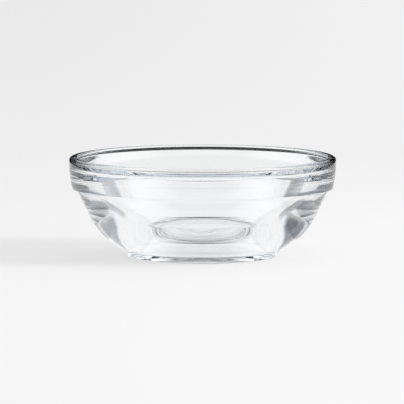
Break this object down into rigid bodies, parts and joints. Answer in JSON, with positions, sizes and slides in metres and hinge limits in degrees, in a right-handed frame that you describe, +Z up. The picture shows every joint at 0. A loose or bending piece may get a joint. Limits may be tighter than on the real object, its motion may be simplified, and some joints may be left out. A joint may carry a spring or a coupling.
{
  "type": "prep bowl",
  "caption": "Stackable clear glass prep bowl with a rounded rim, a tall stacking band, a flared wall and a thick base on a narrow standing ring.",
  "frame": {"origin": "centre of the standing ring, on the face that the bowl rests on", "axes": "+Z up along the bowl's axis of revolution, +X and +Y level; every direction round +Z is alike"},
  "size_m": [0.12, 0.12, 0.045],
  "materials": {
    "glass": "clear, fire-polished"
  },
  "bodies": {
    "root": {"bowl": "glass"}
  },
  "joints": []
}
